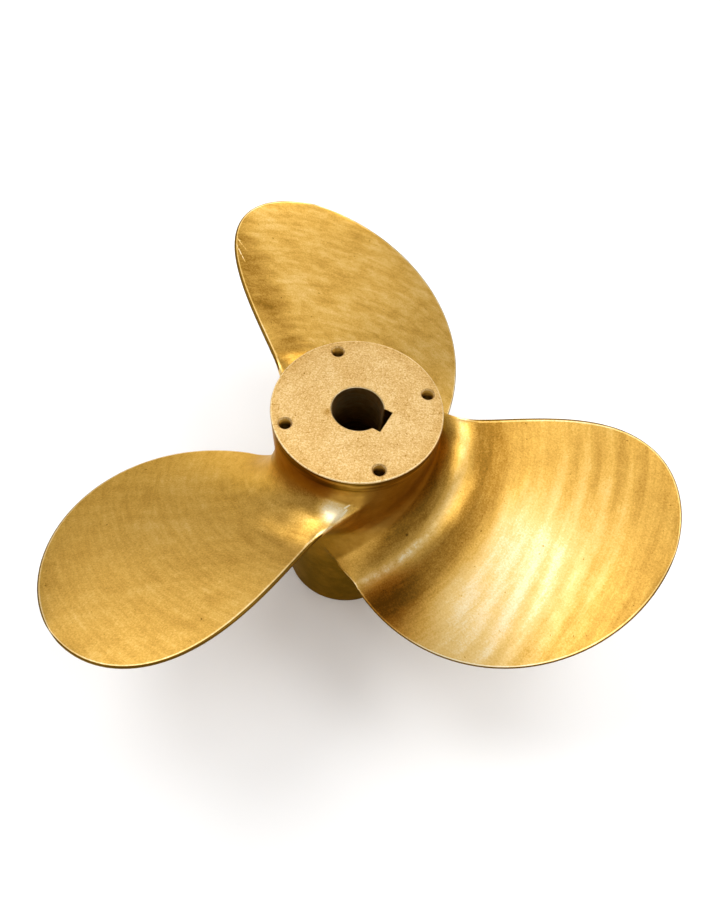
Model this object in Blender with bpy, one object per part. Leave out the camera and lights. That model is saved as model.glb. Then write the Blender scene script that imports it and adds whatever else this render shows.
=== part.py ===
"""Three-bladed bronze ship propeller, cast in one piece with its hub.

Metres, +Z up. The propeller stands on the small end of its hub, the aft end. The origin is the middle of the
bore in the plane of that end, +Z runs forward along the shaft, and +X passes through the keyway and the root
of the first blade.
"""
import bmesh
import bpy
from math import asin, atan2, cos, exp, pi, radians, sin, sqrt
from mathutils import Matrix, Vector

# Driving dimensions of the whole propeller
TIP_RADIUS = 0.305
BLADES = 3
HUB_LENGTH = 0.281
HUB_RADIUS_FORWARD = 0.0757
HUB_RADIUS_AFT = 0.0642
HUB_RIM = 0.0015

# The shaft's way through the hub: a bore that narrows aft, and its keyway
BORE_RADIUS_FORWARD = 0.0230
BORE_RADIUS_AFT = 0.0175
BORE_RIM = 0.0012
KEYWAY_WIDTH = 0.0234
KEYWAY_DEPTH = 0.0054

# Tapped holes in the forward face
TAPPED_HOLES = 4
TAPPED_RADIUS = 0.0060
TAPPED_DEPTH = 0.030
TAPPED_CIRCLE = 0.0647
FIRST_TAPPED_TURN = radians(45)

# The blade's shape over its span, where share 0 is the root and 1 the tip: each list holds the terms of a
# polynomial in that share
ROOT_RADIUS = 0.241 * TIP_RADIUS
ROOT_TURN = radians(-8.3)
HEIGHT_TERMS = [term * TIP_RADIUS for term in (0.566, 0.166, -0.066)]
PITCH_TERMS = [term * TIP_RADIUS for term in (1.151, 0.888, 0.269)]
HALF_CHORD_TERMS = [term * TIP_RADIUS for term in (0.299, 0.493, 0.268, -0.049)]
MIDLINE_TERMS = [term * TIP_RADIUS for term in (0.0, 0.0075, 0.232, 0.057)]

# The leading edge flares forward where it meets the hub, and the flare dies away over a short part of the span
LEADING_FLARE = 0.081 * TIP_RADIUS
FLARE_SHARE = 0.054

# Blade thickness
EDGE_THICKNESS = 0.0036
ROOT_THICKNESS = 0.020
TIP_THICKNESS = 0.0050
BACK_CROWN = 0.85

# The fillet that joins each blade to the hub: its rise off the blade's two sides and past its edges, the share
# of it that is lost towards the leading edge, its width along the span, and how near it comes to lying flat on
# the hub
FILLET_RISE = 0.040
FILLET_EDGE_RISE = 0.0115
LEADING_LOSS = 0.75
LEADING_LOSS_POWER = 6
FILLET_WIDTH = 0.047
FILLET_WIDENING = 0.20
FILLET_START_POWER = 2.2
FILLET_END_POWER = 1.6
FILLET_REACH = 0.97
BURIED_REACH = 1.05

# How finely the solid is faceted, how near two of its corners merge, and the angle from which an edge is sharp
ROUND_STEPS = 64
HOLE_STEPS = 16
FILLET_STEPS = 6
SPAN_STEPS = 20
CHORD_STEPS = 14
EDGE_STEPS = 4
HEIGHT_ROUNDS = 4
LAST_RADIUS = 0.9999 * TIP_RADIUS
MERGE_DISTANCE = 0.00005
SHARP_ANGLE = radians(35)

# How far a cutter stands out past the face that it opens
OVERRUN = 0.010

BRONZE_COLOUR = (0.52, 0.33, 0.11, 1.0)
BRONZE_ROUGHNESS = 0.38


def clear_scene():
    """Remove whatever the opened file holds."""
    for item in list(bpy.data.objects):
        bpy.data.objects.remove(item, do_unlink=True)


def bronze():
    """Satin propeller bronze, as the ground blades show it."""
    material = bpy.data.materials.new("cast_bronze")
    material.use_nodes = True
    shader = material.node_tree.nodes["Principled BSDF"]
    shader.inputs["Base Color"].default_value = BRONZE_COLOUR
    shader.inputs["Metallic"].default_value = 1.0
    shader.inputs["Roughness"].default_value = BRONZE_ROUGHNESS
    return material


def as_object(mesh, name):
    """Make an object of a bmesh, with flat faces that point out, and free the bmesh."""
    bmesh.ops.triangulate(mesh, faces=[face for face in mesh.faces if len(face.verts) > 3])
    bmesh.ops.recalc_face_normals(mesh, faces=mesh.faces)
    data = bpy.data.meshes.new(name)
    mesh.to_mesh(data)
    mesh.free()
    thing = bpy.data.objects.new(name, data)
    bpy.context.scene.collection.objects.link(thing)
    return thing


def polynomial(terms, share):
    """Sum of terms[n] * share ** n."""
    return sum(term * share ** power for power, term in enumerate(terms))


def between(aft, forward, height):
    """A radius that changes evenly from the hub's aft end to its forward end."""
    return aft + (forward - aft) * height / HUB_LENGTH


def hub_radius(height):
    """Radius of the hub's cone."""
    return between(HUB_RADIUS_AFT, HUB_RADIUS_FORWARD, height)


def bore_radius(height):
    """Radius of the tapered bore."""
    return between(BORE_RADIUS_AFT, BORE_RADIUS_FORWARD, height)


def fillet_growth(reach):
    """Rise of the fillet, from 0 where it leaves the blade at reach 0 to almost 1 at the hub.

    It ends in a straight slope, which runs on into the hub.
    """
    curved = min(reach, FILLET_REACH)
    rest = 1 - curved ** FILLET_START_POWER
    slope = FILLET_START_POWER / FILLET_END_POWER
    slope *= curved ** (FILLET_START_POWER - 1) * rest ** (1 / FILLET_END_POWER - 1)
    return 1 - rest ** (1 / FILLET_END_POWER) + slope * (reach - curved)


def blade_point(reach, outward, across, lean):
    """A point of the blade whose root is at +X.

    reach runs from 0 at the fillet's outer end to 1 at the hub, and outward from 0 there to 1 at the tip.
    across runs from -1 at the trailing edge to 1 at the leading edge. lean is the angle of the surface in the
    section: 90 degrees on the back, which looks forward and up, -90 on the driving face, and 0 or 180 at the
    very edge.
    """
    width = FILLET_WIDTH * (1 + FILLET_WIDENING * across)
    growth = fillet_growth(reach)
    rise = growth * FILLET_RISE * (1 - LEADING_LOSS * max(across, 0) ** LEADING_LOSS_POWER)
    side = sin(lean)
    height = HUB_LENGTH / 2
    for _ in range(HEIGHT_ROUNDS):
        hub = hub_radius(height)
        radius = hub + width * (1 - reach) + outward * (LAST_RADIUS - hub - width)
        share = min(max((radius - ROOT_RADIUS) / (TIP_RADIUS - ROOT_RADIUS), 0), 1)
        half_chord = sqrt(1 - share) * polynomial(HALF_CHORD_TERMS, share) - EDGE_THICKNESS / 2
        along = polynomial(MIDLINE_TERMS, share) + across * half_chord
        along += (1 + across) / 2 * LEADING_FLARE * exp(-share / FLARE_SHARE)
        along += cos(lean) * (EDGE_THICKNESS / 2 + growth * FILLET_EDGE_RISE)
        crown = ROOT_THICKNESS + (TIP_THICKNESS - ROOT_THICKNESS) * share - EDGE_THICKNESS
        crown *= (1 - across ** 2) * (BACK_CROWN if side > 0 else 1 - BACK_CROWN)
        lift = side * (EDGE_THICKNESS / 2 + crown + rise)
        slope = atan2(polynomial(PITCH_TERMS, share), 2 * pi * radius)
        height = polynomial(HEIGHT_TERMS, share) + along * sin(slope) + lift * cos(slope)
    turn = ROOT_TURN + (along * cos(slope) - lift * sin(slope)) / radius
    return Vector((radius * cos(turn), radius * sin(turn), height))


def blade_section(mesh, reach, outward):
    """One closed loop of edges around the blade: its back, leading edge, driving face and trailing edge."""
    across = [-cos(pi * step / CHORD_STEPS) for step in range(CHORD_STEPS + 1)]
    leans = [pi / 2 - pi * step / EDGE_STEPS for step in range(1, EDGE_STEPS)]
    stations = [(place, pi / 2) for place in across] + [(1, lean) for lean in leans]
    stations += [(place, -pi / 2) for place in reversed(across)] + [(-1, lean - pi) for lean in leans]
    corners = [mesh.verts.new(blade_point(reach, outward, place, lean)) for place, lean in stations]
    return [mesh.edges.new((corners[n - 1], corners[n])) for n in range(len(corners))]


def section_places():
    """Reach and outward share of each section, from inside the hub down the fillet and out to the tip."""
    last = asin(FILLET_REACH ** (FILLET_START_POWER / 2))
    angles = [last * (1 - step / FILLET_STEPS) for step in range(FILLET_STEPS + 1)]
    fillet = [(sin(angle) ** (2 / FILLET_START_POWER), 0) for angle in angles]
    span = [(0, (1 - cos(pi * step / SPAN_STEPS)) / 2) for step in range(1, SPAN_STEPS + 1)]
    return [(BURIED_REACH, 0)] + fillet + span


def blade(turn):
    """One blade as a closed loft through its sections, turned about the shaft."""
    mesh = bmesh.new()
    loops = [blade_section(mesh, *place) for place in section_places()]
    for inner, outer in zip(loops, loops[1:]):
        bmesh.ops.bridge_loops(mesh, edges=inner + outer)
    bmesh.ops.holes_fill(mesh, edges=loops[0] + loops[-1], sides=0)
    bmesh.ops.rotate(mesh, verts=mesh.verts, matrix=Matrix.Rotation(turn, 3, "Z"))
    return as_object(mesh, "blade_form")


def turned(outline, name):
    """A solid turned about the shaft's axis from its half section, which starts and ends on the axis."""
    mesh = bmesh.new()
    corners = [mesh.verts.new((radius, 0, height)) for radius, height in outline]
    profile = [mesh.edges.new(pair) for pair in zip(corners, corners[1:])]
    bmesh.ops.spin(mesh, geom=corners + profile, cent=(0, 0, 0), axis=(0, 0, 1), angle=2 * pi,
                   steps=ROUND_STEPS, use_merge=True, use_duplicate=False)
    bmesh.ops.remove_doubles(mesh, verts=mesh.verts, dist=MERGE_DISTANCE)
    return as_object(mesh, name)


def hub():
    """The hub as it is cast, with broken rims and not yet bored."""
    return turned([
        (0, HUB_LENGTH), (HUB_RADIUS_FORWARD - HUB_RIM, HUB_LENGTH),
        (HUB_RADIUS_FORWARD, HUB_LENGTH - HUB_RIM), (HUB_RADIUS_AFT, HUB_RIM),
        (HUB_RADIUS_AFT - HUB_RIM, 0), (0, 0),
    ], "propeller_casting")


def bore():
    """The cutter for the tapered bore and the broken edges at its ends."""
    return turned([
        (0, HUB_LENGTH + OVERRUN), (BORE_RADIUS_FORWARD + BORE_RIM + OVERRUN, HUB_LENGTH + OVERRUN),
        (BORE_RADIUS_FORWARD, HUB_LENGTH - BORE_RIM), (BORE_RADIUS_AFT, BORE_RIM),
        (BORE_RADIUS_AFT + BORE_RIM + OVERRUN, -OVERRUN), (0, -OVERRUN),
    ], "bore_cutter")


def keyway():
    """The cutter for the keyway, whose floor runs parallel to the bore's taper."""
    mesh = bmesh.new()
    made = bmesh.ops.create_cube(mesh, size=1)
    for corner in made["verts"]:
        height = HUB_LENGTH + OVERRUN if corner.co.z > 0 else -OVERRUN
        depth = bore_radius(height) + KEYWAY_DEPTH if corner.co.x > 0 else 0
        corner.co = (depth, corner.co.y * KEYWAY_WIDTH, height)
    return as_object(mesh, "keyway_cutter")


def tapped_hole(turn):
    """The cutter for one blind hole in the forward face."""
    mesh = bmesh.new()
    length = TAPPED_DEPTH + OVERRUN
    middle = HUB_LENGTH - TAPPED_DEPTH + length / 2
    bmesh.ops.create_cone(mesh, cap_ends=True, segments=HOLE_STEPS, radius1=TAPPED_RADIUS,
                          radius2=TAPPED_RADIUS, depth=length)
    place = Vector((TAPPED_CIRCLE * cos(turn), TAPPED_CIRCLE * sin(turn), middle))
    bmesh.ops.translate(mesh, verts=mesh.verts, vec=place)
    return as_object(mesh, "tapped_hole_cutter")


def combine(body, forms, name, operation):
    """Join forms to the body or cut them away in one step, and leave the forms out of the model."""
    group = bpy.data.collections.new(name)
    bpy.context.scene.collection.children.link(group)
    for form in forms:
        form.hide_render = True
        form.display_type = "WIRE"
        bpy.context.scene.collection.objects.unlink(form)
        group.objects.link(form)
    step = body.modifiers.new(name, "BOOLEAN")
    step.operation = operation
    step.solver = "EXACT"
    step.operand_type = "COLLECTION"
    step.collection = group


def main():
    """Cast hub and blades as one body, then machine the bore, the keyway and the tapped holes."""
    clear_scene()
    casting = hub()
    casting.data.materials.append(bronze())
    blades = [blade(2 * pi * number / BLADES) for number in range(BLADES)]
    hole_turns = [FIRST_TAPPED_TURN + 2 * pi * number / TAPPED_HOLES for number in range(TAPPED_HOLES)]
    holes = [tapped_hole(hole_turn) for hole_turn in hole_turns]
    combine(casting, blades, "blades", "UNION")
    combine(casting, [bore(), keyway(), *holes], "machining", "DIFFERENCE")
    casting.data.shade_smooth()
    casting.data.set_sharp_from_angle(angle=SHARP_ANGLE)


main()
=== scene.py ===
"""A three-bladed bronze ship propeller, cast with its hub and ground by hand, on a pale studio floor."""
from math import asin, atan2, cos, dist, exp, pi, radians, sin, sqrt

import bmesh
import bpy
from bpy.props import FloatProperty, FloatVectorProperty, IntProperty, PointerProperty
from mathutils import Matrix, Vector, kdtree, noise


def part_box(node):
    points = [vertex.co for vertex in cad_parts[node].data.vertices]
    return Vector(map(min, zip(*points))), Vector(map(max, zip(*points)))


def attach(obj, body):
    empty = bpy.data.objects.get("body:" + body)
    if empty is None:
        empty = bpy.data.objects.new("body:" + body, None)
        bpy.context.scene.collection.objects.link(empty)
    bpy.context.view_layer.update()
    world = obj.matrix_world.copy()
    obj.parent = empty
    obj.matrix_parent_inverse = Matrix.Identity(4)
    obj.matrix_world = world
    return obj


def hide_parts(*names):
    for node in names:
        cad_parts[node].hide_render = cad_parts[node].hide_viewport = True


bl_info = {
    "name": "Bronze Propeller",
    "version": (1, 0, 0),
    "blender": (4, 5, 0),
    "location": "View3D > Sidebar > Propeller",
    "description": "Models a three-bladed bronze ship propeller over its measured solid",
    "category": "Object",
}

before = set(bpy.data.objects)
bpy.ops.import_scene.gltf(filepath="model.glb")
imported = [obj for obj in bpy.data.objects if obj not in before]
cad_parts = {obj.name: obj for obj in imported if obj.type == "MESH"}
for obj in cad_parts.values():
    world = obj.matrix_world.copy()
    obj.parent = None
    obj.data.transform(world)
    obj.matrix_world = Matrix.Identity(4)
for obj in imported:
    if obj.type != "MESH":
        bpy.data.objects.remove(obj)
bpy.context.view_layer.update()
CASTING_LOW, CASTING_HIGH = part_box("propeller_casting")
HUB_LENGTH = CASTING_HIGH[2] - CASTING_LOW[2]

# Steps of a full turn on the hub and the bore, on the small holes, and rows along the hub
TURN_STEPS = 192
HOLE_STEPS = 28
HUB_ROWS = 76

# How far the forms that cut the bore and the keyway reach past the hub's ends
OVERCUT = 0.010

# Corners closer than this are made one
MERGE_DISTANCE = 0.00001

# Place, edge, thread and point of the tapped holes, and how far their cutting form flares above the face
FIRST_HOLE_TURN = radians(45)
THREAD_DEPTH = 0.0008
THREAD_START = 0.0015
COUNTERSINK_WIDTH = 0.0005
COUNTERSINK_DEPTH = 0.0013
UNTHREADED_DEPTH = 0.006
DRILL_POINT = 0.003
HOLE_FLARE = 0.004

# Seams of the fillets: how sharp and how far out they are, and the length left alone at the hub's ends
SEAM_CREASE = radians(-5)
SEAM_RADIUS = 0.11
UNTOUCHED_END = 0.004

# Passes that smooth the seams: how far round them each one reaches, and its rounds
SMOOTHING_PASSES = ((0.008, 6), (0.006, 8), (0.004, 8))

# Edges shorter than this are collapsed before the smoothing
SHORTEST_EDGE = 0.0002

# The vertex attribute that holds how near each corner lies to a blade's outline, which gives the rubbed
# edges with their painted highlight and painted shade
OUTLINE_NEARNESS = "edge_wear"

# How far a corner of the casting may lie from the blade's corner that it takes its nearness to the outline
# from
MATCH_DISTANCE = 0.004

# Angle between faces from which their edge is shaded sharp
SHARP_ANGLE = radians(38)

# Soft round lights: elevation and azimuth in degrees, and power in watts
SOFT_LIGHTS = {
    "back_light": (66, 60, 9.2),
    "back_right_light": (38, 80, 1.3),
    "left_light": (66, 180, 12.5),
    "front_light": (66, 300, 7.7),
    "back_left_light": (42, 153, 5.6),
    "low_back_light": (18, 108, 9.6),
    "low_left_light": (42, 198, 2.5),
    "right_light": (42, 18, 8.8),
}
LIGHT_SIZE = 1.0
LIGHT_DISTANCE = 2.2
LIGHT_TARGET = Vector((0, 0, 0.17))
FLOOR_RADIUS = 12
SENSOR_WIDTH = 36


class HubSize(bpy.types.PropertyGroup):
    """Sizes of the hub and of what is cut into it."""

    radius_forward: FloatProperty(
        name="Forward radius", description="Radius of the hub at its forward face",
        default=0.0757, subtype="DISTANCE", unit="LENGTH")
    radius_aft: FloatProperty(
        name="Aft radius", description="Radius of the hub at the end that it stands on",
        default=0.0642, subtype="DISTANCE", unit="LENGTH")
    rim: FloatProperty(
        name="Rim", description="Radius of the rounded rims of both ends",
        default=0.0015, subtype="DISTANCE", unit="LENGTH")
    bore_forward: FloatProperty(
        name="Bore, forward", description="Radius of the tapered bore at the forward face",
        default=0.0230, subtype="DISTANCE", unit="LENGTH")
    bore_aft: FloatProperty(
        name="Bore, aft", description="Radius of the tapered bore at the aft end",
        default=0.0175, subtype="DISTANCE", unit="LENGTH")
    bore_rim: FloatProperty(
        name="Bore rim", description="Width of the broken edge round the bore",
        default=0.0009, subtype="DISTANCE", unit="LENGTH")
    keyway_width: FloatProperty(
        name="Keyway width", description="Width of the keyway",
        default=0.0234, subtype="DISTANCE", unit="LENGTH")
    keyway_depth: FloatProperty(
        name="Keyway depth", description="How far the keyway is cut beyond the wall of the bore",
        default=0.0054, subtype="DISTANCE", unit="LENGTH")
    tapped_holes: IntProperty(
        name="Tapped holes", description="Number of tapped holes in the forward face", default=4)
    tapped_radius: FloatProperty(
        name="Hole radius", description="Radius of the tapped holes at the bottom of their thread",
        default=0.0060, subtype="DISTANCE", unit="LENGTH")
    tapped_depth: FloatProperty(
        name="Hole depth", description="Depth of the tapped holes",
        default=0.030, subtype="DISTANCE", unit="LENGTH")
    tapped_circle: FloatProperty(
        name="Hole circle", description="Radius of the circle that the holes lie on",
        default=0.0647, subtype="DISTANCE", unit="LENGTH")
    thread_pitch: FloatProperty(
        name="Thread pitch", description="Distance from one thread to the next",
        default=0.00175, subtype="DISTANCE", unit="LENGTH")


class BladeShape(bpy.types.PropertyGroup):
    """Shape of one blade. Each row of terms is a polynomial in the share of the span, in tip radii."""

    count: IntProperty(name="Blades", description="Number of blades", default=3)
    tip_radius: FloatProperty(
        name="Tip radius", description="Reach of the blades from the shaft's axis",
        default=0.305, subtype="DISTANCE", unit="LENGTH")
    root_share: FloatProperty(
        name="Root", description="Radius of the root, in tip radii", default=0.241)
    root_turn: FloatProperty(
        name="Root turn", description="Angle of the root's middle behind the keyway",
        default=radians(-8.3), subtype="ANGLE", unit="ROTATION")
    height_terms: FloatVectorProperty(
        name="Height and rake", description="Height of the blade's middle line above the aft end",
        size=3, default=(0.566, 0.166, -0.066))
    pitch_terms: FloatVectorProperty(
        name="Pitch", description="Advance of the screw in one turn",
        size=3, default=(1.151, 0.888, 0.269))
    chord_terms: FloatVectorProperty(
        name="Half chord", description="Half the blade's width, before the tip rounds it off",
        size=4, default=(0.299, 0.493, 0.268, -0.049))
    midline_terms: FloatVectorProperty(
        name="Skew", description="How far the middle of the blade lies ahead of a straight one",
        size=4, default=(0.0, 0.0075, 0.232, 0.057))
    flare: FloatProperty(
        name="Flare", description="How far the leading edge flares forward at the hub, in tip radii",
        default=0.081)
    flare_share: FloatProperty(
        name="Flare length", description="Share of the span over which the flare dies away", default=0.054)
    edge_thickness: FloatProperty(
        name="Edge", description="Thickness of the rounded edge",
        default=0.0036, subtype="DISTANCE", unit="LENGTH")
    root_thickness: FloatProperty(
        name="Root thickness", description="Greatest thickness at the root",
        default=0.020, subtype="DISTANCE", unit="LENGTH")
    tip_thickness: FloatProperty(
        name="Tip thickness", description="Greatest thickness near the tip",
        default=0.0050, subtype="DISTANCE", unit="LENGTH")
    back_crown: FloatProperty(
        name="Back crown", description="Share of the thickness that lies on the blade's back", default=0.85)
    fillet_rise: FloatProperty(
        name="Fillet rise", description="How far the fillet stands off the blade's sides at the hub",
        default=0.040, subtype="DISTANCE", unit="LENGTH")
    fillet_edge_rise: FloatProperty(
        name="Fillet past the edges", description="How far the fillet stands off the edges at the hub",
        default=0.0115, subtype="DISTANCE", unit="LENGTH")
    fillet_leading_loss: FloatProperty(
        name="Fillet loss", description="Share of the fillet's rise that is lost at the leading edge",
        default=0.75)
    fillet_width: FloatProperty(
        name="Fillet width", description="Width of the fillet along the span",
        default=0.047, subtype="DISTANCE", unit="LENGTH")
    fillet_widening: FloatProperty(
        name="Fillet widening", description="How much wider the fillet is at the leading edge than midway",
        default=0.20)


class Finish(bpy.types.PropertyGroup):
    """Colours of the bronze, from dark to bright, its gloss and its grinding rings."""

    patina: FloatVectorProperty(
        name="Patina", description="Colour of the dark patina low on the hub",
        subtype="COLOR", size=4, default=(0.130, 0.066, 0.008, 1))
    tarnish: FloatVectorProperty(
        name="Tarnish", description="Reflected colour of the brown tarnish",
        subtype="COLOR", size=4, default=(0.300, 0.145, 0.018, 1))
    ground: FloatVectorProperty(
        name="Ground bronze", description="Reflected colour of the ground blades",
        subtype="COLOR", size=4, default=(0.620, 0.360, 0.074, 1))
    turned: FloatVectorProperty(
        name="Turned bronze", description="Reflected colour of the turned forward face",
        subtype="COLOR", size=4, default=(0.550, 0.350, 0.125, 1))
    bright: FloatVectorProperty(
        name="Bright bronze", description="Reflected colour where the grinding is fresh",
        subtype="COLOR", size=4, default=(0.800, 0.545, 0.195, 1))
    # Pale top of the ramp: rubbed bronze, and the colour of the painted highlights too
    rubbed_and_highlight: FloatVectorProperty(
        name="Rubbed bronze", description="Reflected colour where the bronze is rubbed bright",
        subtype="COLOR", size=4, default=(0.940, 0.790, 0.500, 1))
    glint: FloatVectorProperty(
        name="Glint", description="Tint of the reflections at a grazing angle",
        subtype="COLOR", size=4, default=(0.90, 0.72, 0.44, 1))
    roughness: FloatProperty(
        name="Roughness", description="Roughness of the ground bronze", default=0.35)
    ring_spacing: FloatProperty(
        name="Ring spacing", description="Distance between the grinding rings round the hub",
        default=0.0205, subtype="DISTANCE", unit="LENGTH")
    first_ring: FloatProperty(
        name="First ring", description="Radius of the innermost grinding ring",
        default=0.1505, subtype="DISTANCE", unit="LENGTH")


class Studio(bpy.types.PropertyGroup):
    """Floor, light and camera."""

    camera_place: FloatVectorProperty(
        name="Camera", description="Place of the camera", subtype="TRANSLATION", unit="LENGTH",
        default=(0.176, -0.3844, 0.8694))
    azimuth: FloatProperty(
        name="Azimuth", description="Turn of the view about the shaft's axis, from +Y",
        default=radians(18.0), subtype="ANGLE", unit="ROTATION")
    elevation: FloatProperty(
        name="Elevation", description="Angle of the view below the horizontal",
        default=radians(60.23), subtype="ANGLE", unit="ROTATION")
    roll: FloatProperty(
        name="Roll", description="Turn of the camera about its own axis",
        default=radians(10.92), subtype="ANGLE", unit="ROTATION")
    focal_length: FloatProperty(
        name="Focal length", description="Focal length for a frame 36 mm on its long side",
        default=0.03308, subtype="DISTANCE", unit="LENGTH")
    shift: FloatVectorProperty(
        name="Shift", description="Shift of the lens, in long sides of the frame",
        size=2, default=(-0.041, 0.0563))
    floor: FloatVectorProperty(
        name="Floor", description="Colour of the floor",
        subtype="COLOR", size=4, default=(0.93, 0.93, 0.93, 1))
    surroundings: FloatProperty(
        name="Surroundings", description="Strength of the white light from all round", default=0.61)


def polynomial(terms, share):
    """Sum of terms[n] * share ** n."""
    return sum(term * share ** power for power, term in enumerate(terms))


def hub_radius(hub, height):
    """Radius of the hub's cone at a height."""
    return hub.radius_aft + (hub.radius_forward - hub.radius_aft) * height / HUB_LENGTH


def bore_radius(hub, height):
    """Radius of the tapered bore at a height."""
    return hub.bore_aft + (hub.bore_forward - hub.bore_aft) * height / HUB_LENGTH


def finished_mesh(shape, name):
    """Make an object of a bmesh, with flat faces that point out, and free the bmesh."""
    bmesh.ops.triangulate(shape, faces=[face for face in shape.faces if len(face.verts) > 3])
    bmesh.ops.recalc_face_normals(shape, faces=shape.faces)
    data = bpy.data.meshes.new(name)
    shape.to_mesh(data)
    shape.free()
    thing = bpy.data.objects.new(name, data)
    bpy.context.scene.collection.objects.link(thing)
    return thing


class BladeLoft:
    """Works out points of a blade and lofts it through closed sections."""

    START_POWER = 2.2  # how gently the fillet leaves the blade
    END_POWER = 1.6  # how gently it meets the hub
    REACH = 0.985  # where the fillet's curve goes on straight, before it grows too steep
    BURIED_REACH = 1.05  # reach of the first section, inside the hub
    LOSS_POWER = 6  # how near the leading edge the fillet's rise is lost
    LAST = 0.9990  # share of the tip radius that the last section lies at
    HEIGHT_ROUNDS = 4  # rounds in which a point's height and the hub's radius there settle
    TRIM = 0.9993  # keeps the fine blades inside the coarser ones of the frame

    RIPPLES = 10.5  # number of ripples from root to tip
    RIPPLE_HEIGHT = 0.00011
    RIPPLE_STRENGTHS = (1.0, 0.35, 0.25)  # on the first, second and third blade
    RIPPLE_FADE = 1.15  # the ripples end at 1 / 1.15 of the span
    RIPPLE_SWAY = 0.35  # how far the ripples sway across the blade, in ripples
    SWELL_HEIGHT = 0.00035
    SWELL_SCALE = 18

    OUTLINE_BAND = 0.006  # width of the band inside the blade's outline that the rubbed line and the painted edge shade cover
    SMALL_STEP = 0.002  # share of the span over which the outline's slope is measured

    def __init__(self, blade, hub, number):
        self.blade, self.hub, self.number = blade, hub, number
        self.tip = blade.tip_radius
        self.root = blade.root_share * self.tip
        counts = ((16, 56, 44, 7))
        self.fillets, self.spans, self.chords, self.edges = counts

    def growth(self, reach):
        """Rise of the fillet, from 0 where it leaves the blade at reach 0 to almost 1 at the hub."""
        curved = min(reach, self.REACH)
        rest = 1 - curved ** self.START_POWER
        slope = self.START_POWER / self.END_POWER
        slope *= curved ** (self.START_POWER - 1) * rest ** (1 / self.END_POWER - 1)
        return 1 - rest ** (1 / self.END_POWER) + slope * (reach - curved)

    def waves(self, share, across, place):
        """Height of the shallow waves that the grinding wheel left, strongest on the first blade."""
        fade = sin(pi * min(max(share * self.RIPPLE_FADE, 0), 1)) * (1 - across ** 2)
        ripple = sin(2 * pi * (share * self.RIPPLES + self.RIPPLE_SWAY * sin(3 * across + 1)))
        swell = noise.noise(place * self.SWELL_SCALE) * self.SWELL_HEIGHT
        height = self.RIPPLE_HEIGHT * self.RIPPLE_STRENGTHS[self.number]
        return height * fade * ripple + swell * (1 - across ** 6)

    def point(self, reach, outward, across, lean):
        """A point of the blade.

        reach runs from 0 at the fillet's outer end to 1 at the hub, and outward from 0 there to 1 at the
        tip. across runs from -1 at the trailing edge to 1 at the leading edge. lean is the angle of the
        surface in the section: 90 degrees on the back, -90 on the driving face, 0 or 180 at the very edge.
        """
        blade, tip = self.blade, self.tip
        edge = blade.edge_thickness / 2
        width = blade.fillet_width * (1 + blade.fillet_widening * across)
        growth = self.growth(reach)
        loss = blade.fillet_leading_loss * max(across, 0) ** self.LOSS_POWER
        rise = growth * blade.fillet_rise * (1 - loss)
        side = sin(lean)
        start = blade.root_turn + 2 * pi * self.number / blade.count
        height = HUB_LENGTH / 2
        for _ in range(self.HEIGHT_ROUNDS):
            hub = hub_radius(self.hub, height)
            radius = hub + width * (1 - reach) + outward * (tip * self.LAST - hub - width)
            share = min(max((radius - self.root) / (tip - self.root), 0), 1)
            along = self.midline(share) + across * self.half_chord(share)
            along += (1 + across) / 2 * blade.flare * tip * exp(-share / blade.flare_share)
            along += cos(lean) * (edge + growth * blade.fillet_edge_rise)
            crown = blade.root_thickness + (blade.tip_thickness - blade.root_thickness) * share - 2 * edge
            crown *= (1 - across ** 2) * (blade.back_crown if side > 0 else 1 - blade.back_crown)
            lift = side * (edge + crown + rise)
            slope = atan2(polynomial(blade.pitch_terms, share) * tip, 2 * pi * radius)
            height = polynomial(blade.height_terms, share) * tip + along * sin(slope) + lift * cos(slope)
        turn = start + (along * cos(slope) - lift * sin(slope)) / radius
        place = Vector((radius * cos(turn), radius * sin(turn), height))
        if outward > 0:
            normal = Vector((sin(turn) * sin(slope), -cos(turn) * sin(slope), cos(slope)))
            place += normal * side * self.waves(share, across, place)
        return place

    def midline(self, share):
        """Where the middle of a section lies along its own slope."""
        return polynomial(self.blade.midline_terms, share) * self.tip

    def half_chord(self, share):
        """Half the width of a section between the middles of its round edges."""
        width = sqrt(1 - share) * polynomial(self.blade.chord_terms, share) * self.tip
        return width - self.blade.edge_thickness / 2

    def outline_nearness_at(self, place, reach, across, lean):
        """1 on the blade's outline, falling to 0 a few millimetres inside it and down the fillet."""
        share = (place.xy.length - self.root) / (self.tip - self.root)
        share = min(max(share, 0), 1 - self.SMALL_STEP)
        side = 1 if across > 0 else -1
        spots = (share, share + self.SMALL_STEP)
        ends = [self.midline(spot) + side * self.half_chord(spot) for spot in spots]
        slope = (ends[1] - ends[0]) / (self.SMALL_STEP * (self.tip - self.root))
        gap = self.blade.edge_thickness / 2 * (1 - abs(cos(lean)))
        gap += (1 - abs(across)) * max(0, self.half_chord(share))
        inside = gap / sqrt(1 + slope ** 2) / self.OUTLINE_BAND
        return max(0, 1 - inside) * max(0, 1 - 2 * self.growth(reach))

    def section(self, shape, reach, outward):
        """One closed loop of edges round the blade: back, leading edge, driving face and trailing edge."""
        across = [-cos(pi * step / self.chords) for step in range(self.chords + 1)]
        leans = [pi / 2 - pi * step / self.edges for step in range(1, self.edges)]
        stations = [(place, pi / 2) for place in across] + [(1, lean) for lean in leans]
        stations += [(place, -pi / 2) for place in reversed(across)] + [(-1, lean - pi) for lean in leans]
        corners = [shape.verts.new(self.point(reach, outward, place, lean)) for place, lean in stations]
        layer = shape.verts.layers.float[OUTLINE_NEARNESS]
        for corner, (place, lean) in zip(corners, stations):
            corner[layer] = self.outline_nearness_at(corner.co, reach, place, lean)
        return [shape.edges.new((corners[n - 1], corners[n])) for n in range(len(corners))]

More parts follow.
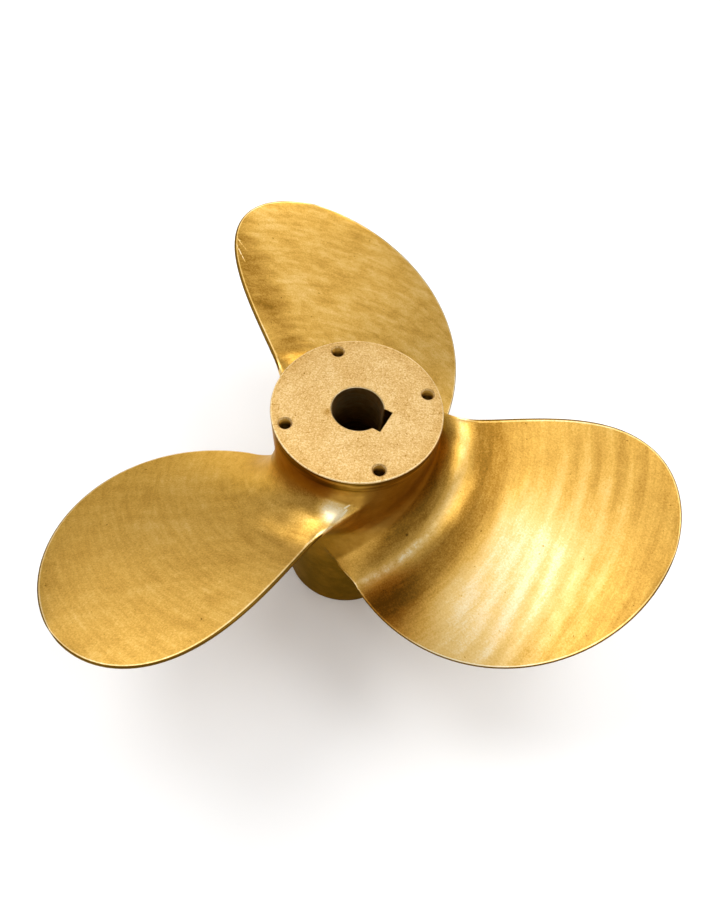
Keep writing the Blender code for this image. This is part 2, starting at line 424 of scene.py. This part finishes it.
    def places(self):
        """Reach and outward share of each section: inside the hub, along the fillet, out to the tip."""
        last = asin(self.REACH ** (self.START_POWER / 2))
        angles = [last * (1 - step / self.fillets) for step in range(self.fillets + 1)]
        fillet = [(sin(angle) ** (2 / self.START_POWER), 0) for angle in angles]
        span = [(0, (1 - cos(pi * step / self.spans)) / 2) for step in range(1, self.spans + 1)]
        return [(self.BURIED_REACH, 0)] + fillet + span

    def made(self):
        """Loft the blade into an object."""
        shape = bmesh.new()
        shape.verts.layers.float.new(OUTLINE_NEARNESS)
        loops = [self.section(shape, *place) for place in self.places()]
        for inner, outer in zip(loops, loops[1:]):
            bmesh.ops.bridge_loops(shape, edges=inner + outer)
        bmesh.ops.holes_fill(shape, edges=loops[0] + loops[-1], sides=0)
        bmesh.ops.scale(shape, verts=shape.verts, vec=(self.TRIM, self.TRIM, 1))
        return finished_mesh(shape, "blade_form")


def rounded(corner, start, end, radius, steps=5):
    """Points of the curve that rounds a corner between two directions in the half section."""
    curve = []
    for step in range(steps + 1):
        share = step / steps
        first = corner + start * radius * (1 - share)
        second = corner + end * radius * share
        curve.append(first.lerp(second, share))
    return curve


def turned(outline, name, steps=TURN_STEPS):
    """A solid turned about the shaft's axis from its half section, which starts and ends on the axis."""
    shape = bmesh.new()
    corners = [shape.verts.new((radius, 0, height)) for radius, height in outline]
    profile = [shape.edges.new(pair) for pair in zip(corners, corners[1:])]
    bmesh.ops.spin(shape, geom=corners + profile, cent=(0, 0, 0), axis=(0, 0, 1), angle=2 * pi,
                   steps=steps, use_merge=True, use_duplicate=False)
    bmesh.ops.remove_doubles(shape, verts=shape.verts, dist=MERGE_DISTANCE)
    return finished_mesh(shape, name)


def hub_blank(hub):
    """The hub as it is cast: a solid cone with rounded rims."""
    inward, down, up = Vector((-1, 0)), Vector((0, -1)), Vector((0, 1))
    outline = [Vector((0, HUB_LENGTH))]
    outline += rounded(Vector((hub.radius_forward, HUB_LENGTH)), inward, down, hub.rim)
    for row in range(1, HUB_ROWS):
        height = HUB_LENGTH * (1 - row / HUB_ROWS)
        outline.append(Vector((hub_radius(hub, height), height)))
    outline += rounded(Vector((hub.radius_aft, 0)), up, inward, hub.rim)
    outline.append(Vector((0, 0)))
    return turned(outline, "propeller_bronze")


def bore_form(hub):
    """What the boring tool takes out of the hub, with the broken edges at both ends."""
    over = hub.bore_rim + OVERCUT
    return turned([
        (0, HUB_LENGTH + OVERCUT), (hub.bore_forward + over, HUB_LENGTH + OVERCUT),
        (hub.bore_forward, HUB_LENGTH - hub.bore_rim), (hub.bore_aft, hub.bore_rim),
        (hub.bore_aft + over, -OVERCUT), (0, -OVERCUT),
    ], "bore_form")


def smooth_seams(casting):
    """Round the creases where the blades' fillets meet the hub and each other, as the founder does."""
    shape = bmesh.new()
    shape.from_mesh(casting.data)
    short = [edge for edge in shape.edges if edge.calc_length() < SHORTEST_EDGE]
    bmesh.ops.collapse(shape, edges=short)
    joined = [edge for edge in shape.edges if edge.is_manifold and edge.verts[0].co.xy.length < SEAM_RADIUS]
    seams = [edge for edge in joined if edge.calc_face_angle_signed(0) < SEAM_CREASE]
    tree = kdtree.KDTree(2 * len(seams))
    for number, edge in enumerate(seams):
        for end, corner in enumerate(edge.verts):
            tree.insert(corner.co, 2 * number + end)
    tree.balance()
    top = HUB_LENGTH - UNTOUCHED_END
    between = [corner for corner in shape.verts if UNTOUCHED_END < corner.co.z < top]
    gaps = [(tree.find(corner.co)[2], corner) for corner in between]
    for reach, rounds in SMOOTHING_PASSES:
        chosen = [corner for gap, corner in gaps if gap < reach]
        for _ in range(rounds):
            bmesh.ops.smooth_vert(shape, verts=chosen, factor=0.5,
                                  use_axis_x=True, use_axis_y=True, use_axis_z=True)
    shape.to_mesh(casting.data)
    shape.free()


def keyway_form(hub):
    """What the keyway cutter takes out, whose floor runs parallel to the bore."""
    shape = bmesh.new()
    made = bmesh.ops.create_cube(shape, size=1)
    for corner in made["verts"]:
        height = HUB_LENGTH + OVERCUT if corner.co.z > 0 else -OVERCUT
        depth = bore_radius(hub, height) + hub.keyway_depth if corner.co.x > 0 else 0
        corner.co = (depth, corner.co.y * hub.keyway_width, height)
    return finished_mesh(shape, "keyway_form")


def tapped_hole_form(hub, turn):
    """What drill, countersink and tap take out of one hole: its edge, its thread and the drill's point."""
    drilled = hub.tapped_radius - THREAD_DEPTH
    edge = hub.tapped_radius + COUNTERSINK_WIDTH
    bottom = HUB_LENGTH - hub.tapped_depth
    outline = [(0, HUB_LENGTH + HOLE_FLARE), (edge + HOLE_FLARE, HUB_LENGTH + HOLE_FLARE),
               (edge, HUB_LENGTH), (drilled, HUB_LENGTH - COUNTERSINK_DEPTH)]
    threads = int((hub.tapped_depth - UNTHREADED_DEPTH) / hub.thread_pitch)
    for number in range(threads):
        height = HUB_LENGTH - THREAD_START - number * hub.thread_pitch
        groove = height - hub.thread_pitch / 2
        outline += [(hub.tapped_radius, groove), (drilled, height - hub.thread_pitch)]
    outline += [(drilled, bottom + DRILL_POINT), (0, bottom)]
    form = turned(outline, "tapped_hole_form", HOLE_STEPS)
    place = Vector((hub.tapped_circle * cos(turn), hub.tapped_circle * sin(turn), 0))
    form.data.transform(Matrix.Translation(place))
    return form


def machining_forms(hub):
    """What the machine shop takes out beside the bore: the keyway and the tapped holes."""
    step = 2 * pi / hub.tapped_holes
    turns = [FIRST_HOLE_TURN + step * number for number in range(hub.tapped_holes)]
    return [keyway_form(hub)] + [tapped_hole_form(hub, turn) for turn in turns]


def combine(body, tools, operation):
    """Join forms to the body or cut them away, all in one step, and remove them."""
    group = bpy.data.collections.new("forms")
    bpy.context.scene.collection.children.link(group)
    for tool in tools:
        bpy.context.scene.collection.objects.unlink(tool)
        group.objects.link(tool)
    step = body.modifiers.new("forms", "BOOLEAN")
    step.operation = operation
    step.solver = "EXACT"
    step.operand_type = "COLLECTION"
    step.collection = group
    graph = bpy.context.evaluated_depsgraph_get()
    result = bpy.data.meshes.new_from_object(body.evaluated_get(graph))
    body.modifiers.clear()
    body.data = result
    for tool in tools:
        bpy.data.objects.remove(tool, do_unlink=True)
    bpy.data.collections.remove(group)


def read_outline_nearness(blades):
    """Places of the blades' corners and how near each lies to the outline, read before the joining, which
    loses it.
    """
    found = []
    for blade in blades:
        marks = blade.data.attributes[OUTLINE_NEARNESS].data
        found += [(corner.co.copy(), mark.value) for corner, mark in zip(blade.data.vertices, marks)]
    return found


def write_outline_nearness(casting, found):
    """Put the blades' nearness to the outline back on the corners that the joining left in place."""
    tree = kdtree.KDTree(len(found))
    for number, (place, _) in enumerate(found):
        tree.insert(place, number)
    tree.balance()
    attributes = casting.data.attributes
    layer = attributes.get(OUTLINE_NEARNESS) or attributes.new(OUTLINE_NEARNESS, "FLOAT", "POINT")
    for corner, mark in zip(casting.data.vertices, layer.data):
        _, number, gap = tree.find(corner.co)
        mark.value = found[number][1] if gap < MATCH_DISTANCE else 0


class Signal:
    """An output of a material's nodes. Sums and products of signals add Math nodes."""

    def __init__(self, tree, socket=None):
        self.tree, self.socket = tree, socket

    def add(self, kind, settings=(), inputs=(), output=0):
        """Add a node: first its settings, then the values or links of its sockets."""
        node = self.tree.nodes.new(kind)
        for name, value in dict(settings).items():
            if name == "stops":
                self.fill_ramp(node.color_ramp, value)
            else:
                setattr(node, name, value)
        for name, value in dict(inputs).items():
            self.feed(node.inputs[name], value)
        return Signal(self.tree, node.outputs[output])

    def feed(self, socket, value):
        """Link a signal to a socket, or set a value on it."""
        if isinstance(value, Signal):
            self.tree.links.new(value.socket, socket)
        else:
            socket.default_value = value

    @staticmethod
    def fill_ramp(ramp, stops):
        """Give a colour ramp its stops."""
        while len(ramp.elements) < len(stops):
            ramp.elements.new(1)
        for element, (place, colour) in zip(ramp.elements, stops):
            element.position, element.color = place, colour

    def maths(self, operation, first, second=0.0):
        """A Math node with one or two inputs."""
        return self.add("ShaderNodeMath", {"operation": operation}, {0: first, 1: second})

    def __add__(self, other):
        return self.maths("ADD", self, other)

    def __sub__(self, other):
        return self.maths("SUBTRACT", self, other)

    def __rsub__(self, other):
        return self.maths("SUBTRACT", other, self)

    def __mul__(self, other):
        return self.maths("MULTIPLY", self, other)

    def __truediv__(self, other):
        return self.maths("DIVIDE", self, other)

    __radd__ = __add__
    __rmul__ = __mul__

    def step(self, low, high):
        """Rise smoothly from 0 at low to 1 at high."""
        return self.add("ShaderNodeMapRange", {"interpolation_type": "SMOOTHSTEP"},
                        {"Value": self, "From Min": low, "From Max": high, "To Min": 0.0, "To Max": 1.0})

    def fall(self, low, high):
        """Fall smoothly from 1 at low to 0 at high."""
        return 1 - self.step(low, high)

    def band(self, start, full, last, end):
        """Rise from 0 at start to 1 at full, stay there until last, and fall to 0 at end."""
        return self.step(start, full) * self.fall(last, end)


class Bronze:
    """One bronze material: its shader, and the places, noises and colours that its nodes work out."""

    def __init__(self, name, finish):
        self.finish = finish
        self.material = bpy.data.materials.new(name)
        self.material.use_nodes = True
        self.tree = self.material.node_tree
        self.shader = self.tree.nodes["Principled BSDF"]
        self.shader.inputs["Metallic"].default_value = 1.0
        self.shader.inputs["Specular Tint"].default_value = tuple(finish.glint)
        # A signal that has no socket of its own, and only adds nodes
        self.start = Signal(self.tree)
        self.place = self.start.add("ShaderNodeTexCoord", output="Object")
        split = self.start.add("ShaderNodeSeparateXYZ", inputs={0: self.place}).socket.node
        self.x, self.y, self.z = (Signal(self.tree, split.outputs[n]) for n in range(3))
        self.radius = self.start.maths("SQRT", self.x * self.x + self.y * self.y)
        self.turn = self.start.maths("ARCTAN2", self.y, self.x) * (180 / pi)
        facing = self.start.add("ShaderNodeTexCoord", output="Normal")
        self.upward = self.start.add("ShaderNodeSeparateXYZ", inputs={0: facing}, output=2)

    def noise(self, scale, detail=4.0, roughness=0.6, stretch=(1, 1, 1), turn=(0, 0, 0), distortion=0.0):
        """Noise from 0 to 1 over the object's own places, drawn out along axes that may be turned."""
        place = self.start.add("ShaderNodeMapping", {"vector_type": "TEXTURE"},
                               {"Vector": self.place, "Scale": stretch, "Rotation": turn})
        return self.start.add("ShaderNodeTexNoise", inputs={
            "Vector": place, "Scale": scale, "Detail": detail, "Roughness": roughness,
            "Distortion": distortion})

    def arcs(self, scale, stretch):
        """Noise from 0 to 1 over the object, drawn out into fine arcs round the hub."""
        usual_radius, flatness = 0.2, 0.2
        along = self.turn * (pi / 180 * usual_radius / stretch)
        inputs = {0: self.radius, 1: along, 2: self.z * flatness}
        place = self.start.add("ShaderNodeCombineXYZ", inputs=inputs)
        return self.start.add("ShaderNodeTexNoise", inputs={
            "Vector": place, "Scale": scale, "Detail": 5.0, "Roughness": 0.7})

    def near(self, place, inner, outer):
        """1 within the inner distance of a place, and 0 beyond the outer one."""
        gap = self.vector_maths("DISTANCE", {0: self.place, 1: place}, 1)
        return gap.fall(inner, outer)

    def stroke(self, start, end, width):
        """1 on a straight scratch between two places, and 0 beside it."""
        length = dist(start, end)
        course = tuple((last - first) / length for first, last in zip(start, end))
        away = self.vector_maths("SUBTRACT", {0: self.place, 1: start}, 0)
        along = self.vector_maths("DOT_PRODUCT", {0: away, 1: course}, 1)
        along = along.maths("MAXIMUM", along.maths("MINIMUM", along, length), 0)
        foot = self.vector_maths("SCALE", {0: course, "Scale": along}, 0)
        gap = self.vector_maths("DISTANCE", {0: away, 1: foot}, 1)
        return gap.fall(width * 0.45, width)

    def vector_maths(self, operation, inputs, output):
        """A Vector Math node, whose output 0 is a vector and output 1 a number."""
        return self.start.add("ShaderNodeVectorMath", {"operation": operation}, inputs, output)

    def bump(self, height, strength, distance):
        """A bump from a height."""
        values = {"Height": height, "Strength": strength, "Distance": distance}
        return self.start.add("ShaderNodeBump", inputs=values)

    def shade(self, level, middle):
        """Colour of the bronze at a level from 0, dark patina, to 1, rubbed bright, which the painted
        highlights reach too.
        """
        stops = [(0.0, self.finish.patina), (0.2, self.finish.tarnish), *middle, (1.0, self.finish.rubbed_and_highlight)]
        stops = [(place, tuple(colour)) for place, colour in stops]
        return self.start.add("ShaderNodeValToRGB", {"stops": stops}, {"Fac": level})

    def ground(self, level):
        """Colour of ground bronze."""
        return self.shade(level, [(0.5, self.finish.ground), (0.75, self.finish.bright)])

    def profile(self, stops):
        """A level by the distance from the shaft's axis, from pairs of millimetres and levels."""
        near, far = stops[0][0], stops[-1][0]
        share = (self.radius * 1000 - near) / (far - near)
        greys = [((place - near) / (far - near), (level + 0.5,) * 3 + (1,)) for place, level in stops]
        return self.start.add("ShaderNodeValToRGB", {"stops": greys}, {"Fac": share}) - 0.5

    def finish_with(self, colour, roughness, normal):
        """Wire the shader."""
        for name, value in (("Base Color", colour), ("Roughness", roughness), ("Normal", normal)):
            self.start.feed(self.shader.inputs[name], value)
        return self.material


# A level runs from 0, dark patina, to 1, rubbed bright, and each mark adds to it or takes from it: the
# bronze's own tone and rubbed marks, and painted highlights and painted shade.
# Here is what the first blade and the other two add, by millimetres from the shaft's axis: painted shade in
# the hollow by the hub, and on the first blade a painted highlight on the fillet's ridge near 100 mm with
# painted shade either side, and darker again towards the tip.
FIRST_BLADE_LEVELS = [(74, -0.44), (84, -0.38), (92, -0.20), (97, 0.04), (101, 0.12), (106, 0.07),
                      (112, -0.16), (120, -0.30), (136, -0.23), (150, -0.08), (180, -0.02), (306, -0.13)]
OTHER_BLADE_LEVELS = [(74, -0.30), (84, -0.16), (96, -0.02), (110, -0.06), (150, -0.02),
                      (230, -0.02), (306, -0.04)]

# Places of single marks, as the photograph shows them: a painted highlight on a shoulder, a bright speck,
# painted shade over a root, a dark pit and a stain on the face
SHOULDER_HIGHLIGHT = (0.0235, -0.0790, 0.243)
BRIGHT_SPECK = (0.0627, -0.0406, 0.2584)
SHADED_ROOT = (-0.100, 0.051, 0.234)
DARK_PIT = (0.0802, -0.0402, 0.1856)
FACE_STAIN = (-0.0208, -0.0173, HUB_LENGTH)

# Ends of the scratches: fine ones by the edge of the second blade, and a forked one on the third's shoulder
FINE_SCRATCHES = [((-0.2100, 0.1328, 0.2616), (-0.2041, 0.1315, 0.2598)),
                  ((-0.2059, 0.1252, 0.2614), (-0.1928, 0.1158, 0.2579)),
                  ((-0.2024, 0.1226, 0.2605), (-0.1891, 0.1136, 0.2569)),
                  ((-0.2085, 0.1318, 0.2613), (-0.1955, 0.1270, 0.2573))]
FORKED_SCRATCH = [((0.0366, -0.0676, 0.2472), (0.0328, -0.0707, 0.2467)),
                  ((0.0328, -0.0707, 0.2467), (0.0304, -0.0741, 0.2446)),
                  ((0.0321, -0.0742, 0.2428), (0.0303, -0.0796, 0.2395))]


def grinding_rings(make):
    """Rings round the hub, from -1 between them to 1 on them, that drift outwards behind the root."""
    # Degrees, metres for each square degree, and radians
    root_end, drift, wobble = 8, 0.00002, 1.8
    behind = make.start.maths("MAXIMUM", root_end - make.turn, 0)
    path = make.radius - make.finish.first_ring - behind * behind * drift
    uneven = (make.noise(22, 2, 0.5) - 0.5) * wobble
    return make.start.maths("COSINE", path * (2 * pi / make.finish.ring_spacing) + uneven)


def first_blade_wear_and_painted_light(make):
    """Level added on the first blade: grinding rings, a painted highlight over its middle, a dark corner,
    and a painted highlight on the ridge by the hub.
    """
    rings = grinding_rings(make) * make.radius.band(0.13, 0.155, 0.24, 0.30)
    rings *= make.noise(9, 2, 0.5).step(0.30, 0.62) * make.turn.step(-42, -20)
    # Painted highlight: the pale middle of the blade, where the lights are reflected
    middle_highlight = make.radius.band(0.13, 0.165, 0.20, 0.29) * make.turn.band(-52, -24, -8, 24)
    corner = make.radius.band(0.112, 0.132, 0.15, 0.20) * make.turn.fall(-38, -25)
    rough = make.noise(120, 4, 0.7).step(0.32, 0.66)
    # Painted highlight along the ridge where the fillet meets the blade, broken up by noise
    ridge = make.radius.band(0.0955, 0.0995, 0.1015, 0.1075) * rough
    ridge *= 0.10 + make.turn.fall(-26, -12) * 0.22
    return make.profile(FIRST_BLADE_LEVELS) + rings * 0.08 + middle_highlight * 0.40 - corner * 0.20 + ridge


def blade_wear_and_painted_light(make):
    """Level added on each blade: the second has broad streaks, the third faint ones and a painted highlight
    on its shoulder, and both have painted shade in the fillets by the hub.
    """
    first = make.x.step(0.035, 0.075)
    second = make.y.step(0.05, 0.09) * (1 - first)
    third = make.y.fall(-0.09, -0.05) * (1 - first)
    # Painted shade in the fillets by the hub
    root = make.profile(OTHER_BLADE_LEVELS)
    streaks = make.noise(85, 5, 0.65, stretch=(6, 1, 1), turn=(0, 0, radians(31))) - 0.5
    leading = make.turn.step(138, 150)
    # Painted highlight on the third blade's shoulder by the hub
    shoulder = make.near(SHOULDER_HIGHLIGHT, 0.004, 0.020)
    level = first * first_blade_wear_and_painted_light(make)
    level += second * (root + 0.05 + streaks * 0.62 - leading * 0.26)
    level += third * (root + streaks * 0.22 + shoulder * 0.75)
    return level


def edge_wear(make):
    """Level added at the blades' edges: a line partly rubbed bright and partly a painted highlight, and
    painted shade on the round of the edge.
    """
    nearness = make.start.add("ShaderNodeAttribute", {"attribute_name": OUTLINE_NEARNESS}, output=2)
    # A line just inside the outline, partly rubbed bright and partly a painted highlight
    rubbed = nearness.band(0.48, 0.60, 0.72, 0.78)
    # Painted shade on the round of the edge
    dark = nearness.step(0.75, 0.81)
    return rubbed * 0.36 - dark * 0.80


def scratches(make):
    """1 on the bright scratches and the speck, and 0 beside them."""
    total = make.near(BRIGHT_SPECK, 0.0004, 0.0014)
    for start, end in FORKED_SCRATCH:
        total += make.stroke(start, end, 0.0012)
    broken = make.noise(500, 2, 0.6).step(0.34, 0.56) * 0.60
    for start, end in FINE_SCRATCHES:
        total += make.stroke(start, end, 0.0008) * broken
    return total


def hub_side_wear_and_painted_shadow(make, cloud, mottle):
    """Level added on the hub's side: a brushed band with a line below it, and the rim with its shadow."""
    depth = HUB_LENGTH - make.z
    brushed = make.noise(20, 3, 0.6, stretch=(1, 1, 0.1)) - 0.5
    band = depth.fall(0.0145, 0.0155)
    line = depth.band(0.0148, 0.0155, 0.0160, 0.0166)
    shadow = depth.band(0.0013, 0.0019, 0.0028, 0.0036)
    rim = depth.fall(0.0005, 0.0010)
    level = cloud * 0.3 + mottle * 0.3 + (brushed * 1.6 - 0.09) * band
    return level - line * 0.12 - shadow * 0.35 + rim * 0.40


def ground_bronze(finish):
    """The blades and the hub's side: ground bronze, with painted shade in the hollows by the hub and on
    surfaces that face down, painted highlights on the blades, and patina low down.
    """
    make = Bronze("ground_bronze", finish)
    middle_level, hub_level = 0.49, 0.27
    cloud = make.noise(13, 5, 0.6, distortion=0.5) - 0.5
    mottle = make.noise(75, 5, 0.68) - 0.5
    grain = make.noise(620, 3, 0.75) - 0.5
    arcs = make.arcs(210, 14) - 0.5
    scratched = scratches(make)
    level = middle_level + cloud * 0.24 + mottle * 0.20 + grain * 0.54 + arcs * 0.36
    level += blade_wear_and_painted_light(make) + edge_wear(make) + scratched * 0.60

    side = make.radius.fall(0.0765, 0.0785)
    low = side * make.z.fall(0.06, 0.20)
    level += (hub_level - level) * side
    level += hub_side_wear_and_painted_shadow(make, cloud, mottle) * side - low * 0.24

    # Painted shade on the surfaces that face down
    underside_shade = make.upward.fall(-0.5, 0.1)
    # Painted shade over the second blade's root, where a reflection of the left light would show
    dull = make.near(SHADED_ROOT, 0.008, 0.034)
    pits = make.noise(230, 2, 0.5).step(0.735, 0.775) + make.noise(900, 1, 0.5).step(0.76, 0.80)
    pits += make.near(DARK_PIT, 0.0006, 0.0018)
    level -= underside_shade * 0.12 + dull * 0.16 + pits * 0.35
    roughness = finish.roughness - cloud * 0.10 - mottle * 0.10 + low * 0.12
    height = grain * 0.6 + mottle * 0.5 + arcs * 0.5 - pits * 0.5 - scratched * 0.5
    return make.finish_with(make.ground(level), roughness, make.bump(height, 0.34, 0.0005))


def turned_bronze(finish):
    """The forward face: turned flat, then dulled to a sandy grain with dark ticks and one stain."""
    make = Bronze("turned_face", finish)
    middle_level, tick_turns = 0.53, (radians(100), radians(35))
    sand = make.noise(620, 4, 0.8) - 0.5
    patch = make.noise(45, 5, 0.65) - 0.5
    level = middle_level + patch * 0.26 + sand
    for turn in tick_turns:
        ticks = make.noise(420, 3, 0.7, stretch=(4, 1, 1), turn=(0, 0, turn)).step(0.58, 0.68)
        level -= ticks * 0.16
    spots = make.noise(420, 2, 0.5).step(0.68, 0.74)
    stain = make.near(FACE_STAIN, 0.0005, 0.0055)
    level -= spots * 0.35 + stain * 0.22 + make.radius.step(0.060, 0.0745) * 0.06
    edges = make.radius.step(0.0743, 0.0747) + make.radius.fall(0.0234, 0.0237)
    level += edges * 0.25
    colour = make.shade(level, [(0.5, finish.turned)])
    return make.finish_with(colour, 0.46 - patch * 0.1, make.bump(sand, 0.45, 0.0006))


def bore_bronze(finish):
    """The bore, the keyway and the tapped holes: dark, with painted light on the bore's upper wall near the
    forward face and painted glints on the holes' top threads.
    """
    make = Bronze("bore_wall", finish)
    depth = HUB_LENGTH - make.z
    smear = make.noise(110, 4, 0.6, stretch=(1, 1, 0.25)) - 0.5
    # Painted light on the bore's wall, brightest near the forward face and fading deeper down
    wall = make.radius.fall(0.0225, 0.0245) * depth.fall(0.013, 0.076)
    # Painted glints on the tapped holes' threads just under the face
    threads = make.radius.step(0.052, 0.054) * depth.fall(0.001, 0.011)
    colour = make.ground(0.05 + wall * 0.85 + threads * 0.32 + smear * 0.5)
    return make.finish_with(colour, 0.34 + smear * 0.15, make.bump(smear, 0.2, 0.0004))


class AddCasting(bpy.types.Operator):
    """Model the propeller's one casting, machine it and give it its bronze"""

    bl_idname = "propeller.add_casting"
    bl_label = "Add Casting"

    def execute(self, context):
        """Cast the hub and the blades in one, smooth the seams, machine the hub and put on the bronze."""
        scene = context.scene
        hub, blade, finish = scene.propeller_hub, scene.propeller_blade, scene.propeller_finish
        casting = hub_blank(hub)
        blades = [BladeLoft(blade, hub, number).made() for number in range(blade.count)]
        nearness = read_outline_nearness(blades)
        combine(casting, blades, "UNION")
        smooth_seams(casting)
        combine(casting, [bore_form(hub), *machining_forms(hub)], "DIFFERENCE")
        write_outline_nearness(casting, nearness)
        for material in (ground_bronze(finish), turned_bronze(finish), bore_bronze(finish)):
            casting.data.materials.append(material)
        self.choose_materials(casting.data, hub)
        casting.data.shade_smooth()
        casting.data.set_sharp_from_angle(angle=SHARP_ANGLE)
        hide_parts("propeller_casting")
        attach(casting, "root")
        return {"FINISHED"}

    @staticmethod
    def choose_materials(data, hub):
        """The forward face is turned bronze, and what lies inside the hub is bore bronze."""
        ground, turned_face, inner_wall = range(3)
        # The small margins let a face on a border go with the right side
        face_height = HUB_LENGTH - hub.rim * 0.6
        hole_top, hole_bottom = HUB_LENGTH - 0.0012, HUB_LENGTH - hub.tapped_depth - 0.001
        for face in data.polygons:
            middle = face.center
            radius = sqrt(middle.x ** 2 + middle.y ** 2)
            wall = bore_radius(hub, middle.z) + hub.keyway_depth + 0.0005
            in_bore = radius < wall and middle.z < HUB_LENGTH - hub.bore_rim
            in_hole = abs(radius - hub.tapped_circle) < hub.tapped_radius * 1.02
            in_hole = in_hole and radius < hub.radius_forward - 0.004 and hole_bottom < middle.z < hole_top
            face.material_index = ground
            if in_bore or in_hole:
                face.material_index = inner_wall
            elif middle.z > face_height and radius < hub.radius_forward + 0.001:
                face.material_index = turned_face


class AddStudio(bpy.types.Operator):
    """Add the pale floor, the soft lights and the camera"""

    bl_idname = "propeller.add_studio"
    bl_label = "Add Studio"

    def execute(self, context):
        """Add the floor, the surroundings, each light and the camera."""
        studio = context.scene.propeller_studio
        self.add_floor(studio)
        self.add_surroundings(context, studio)
        for name, (elevation, azimuth, power) in SOFT_LIGHTS.items():
            self.add_light(name, radians(elevation), radians(azimuth), power)
        self.add_camera(context, studio)
        return {"FINISHED"}

    @staticmethod
    def add_floor(studio):
        """A round of pale, dull paper under the propeller."""
        shape = bmesh.new()
        bmesh.ops.create_circle(shape, cap_ends=True, segments=96, radius=FLOOR_RADIUS)
        floor = finished_mesh(shape, "studio_floor")
        material = bpy.data.materials.new("floor_paper")
        material.use_nodes = True
        shader = material.node_tree.nodes["Principled BSDF"]
        shader.inputs["Base Color"].default_value = tuple(studio.floor)
        shader.inputs["Roughness"].default_value = 0.9
        floor.data.materials.append(material)

    @staticmethod
    def add_surroundings(context, studio):
        """Even white light from all round."""
        world = bpy.data.worlds.new("studio_white")
        world.use_nodes = True
        background = world.node_tree.nodes["Background"]
        background.inputs["Color"].default_value = (1, 1, 1, 1)
        background.inputs["Strength"].default_value = studio.surroundings
        context.scene.world = world
        context.scene.view_settings.view_transform = "Standard"

    @staticmethod
    def add_light(name, elevation, azimuth, power):
        """A soft round light that hangs above the floor and looks at the propeller."""
        data = bpy.data.lights.new(name, "AREA")
        data.shape = "DISK"
        data.size = LIGHT_SIZE
        data.energy = power
        lamp = bpy.data.objects.new(name, data)
        way = Vector((cos(elevation) * cos(azimuth), cos(elevation) * sin(azimuth), sin(elevation)))
        lamp.location = LIGHT_TARGET + way * LIGHT_DISTANCE
        lamp.rotation_euler = way.to_track_quat("Z", "Y").to_euler()
        bpy.context.scene.collection.objects.link(lamp)

    @staticmethod
    def add_camera(context, studio):
        """The camera at the photograph's place, turn and focal length."""
        data = bpy.data.cameras.new("camera")
        data.sensor_width = SENSOR_WIDTH
        data.lens = studio.focal_length * 1000
        data.shift_x, data.shift_y = studio.shift
        data.clip_start = 0.05
        camera = bpy.data.objects.new("camera", data)
        turn = Matrix.Rotation(studio.azimuth, 4, "Z") @ Matrix.Rotation(pi / 2 - studio.elevation, 4, "X")
        turn = turn @ Matrix.Rotation(studio.roll, 4, "Z")
        camera.matrix_world = Matrix.Translation(studio.camera_place) @ turn
        context.scene.collection.objects.link(camera)
        context.scene.camera = camera


class PropellerPanel(bpy.types.Panel):
    """Lists the steps that build the propeller"""

    bl_idname = "VIEW3D_PT_propeller"
    bl_label = "Propeller"
    bl_space_type = "VIEW_3D"
    bl_region_type = "UI"
    bl_category = "Propeller"

    def draw(self, context):
        """A button for each step."""
        for step in (AddCasting, AddStudio):
            self.layout.operator(step.bl_idname)


GROUPS = {
    "propeller_hub": HubSize,
    "propeller_blade": BladeShape,
    "propeller_finish": Finish,
    "propeller_studio": Studio,
}
CLASSES = (*GROUPS.values(), AddCasting, AddStudio, PropellerPanel)


def register():
    """Make the classes known, and hang each group of sizes on the scene."""
    for item in CLASSES:
        bpy.utils.register_class(item)
    for name, group in GROUPS.items():
        setattr(bpy.types.Scene, name, PointerProperty(type=group))


def unregister():
    """Take away what register has added."""
    for name in GROUPS:
        delattr(bpy.types.Scene, name)
    for item in reversed(CLASSES):
        bpy.utils.unregister_class(item)


def main():
    """Build the propeller and the studio."""
    register()
    bpy.ops.propeller.add_casting()
    bpy.ops.propeller.add_studio()
    bpy.context.view_layer.update()


if __name__ == "__main__":
    main()
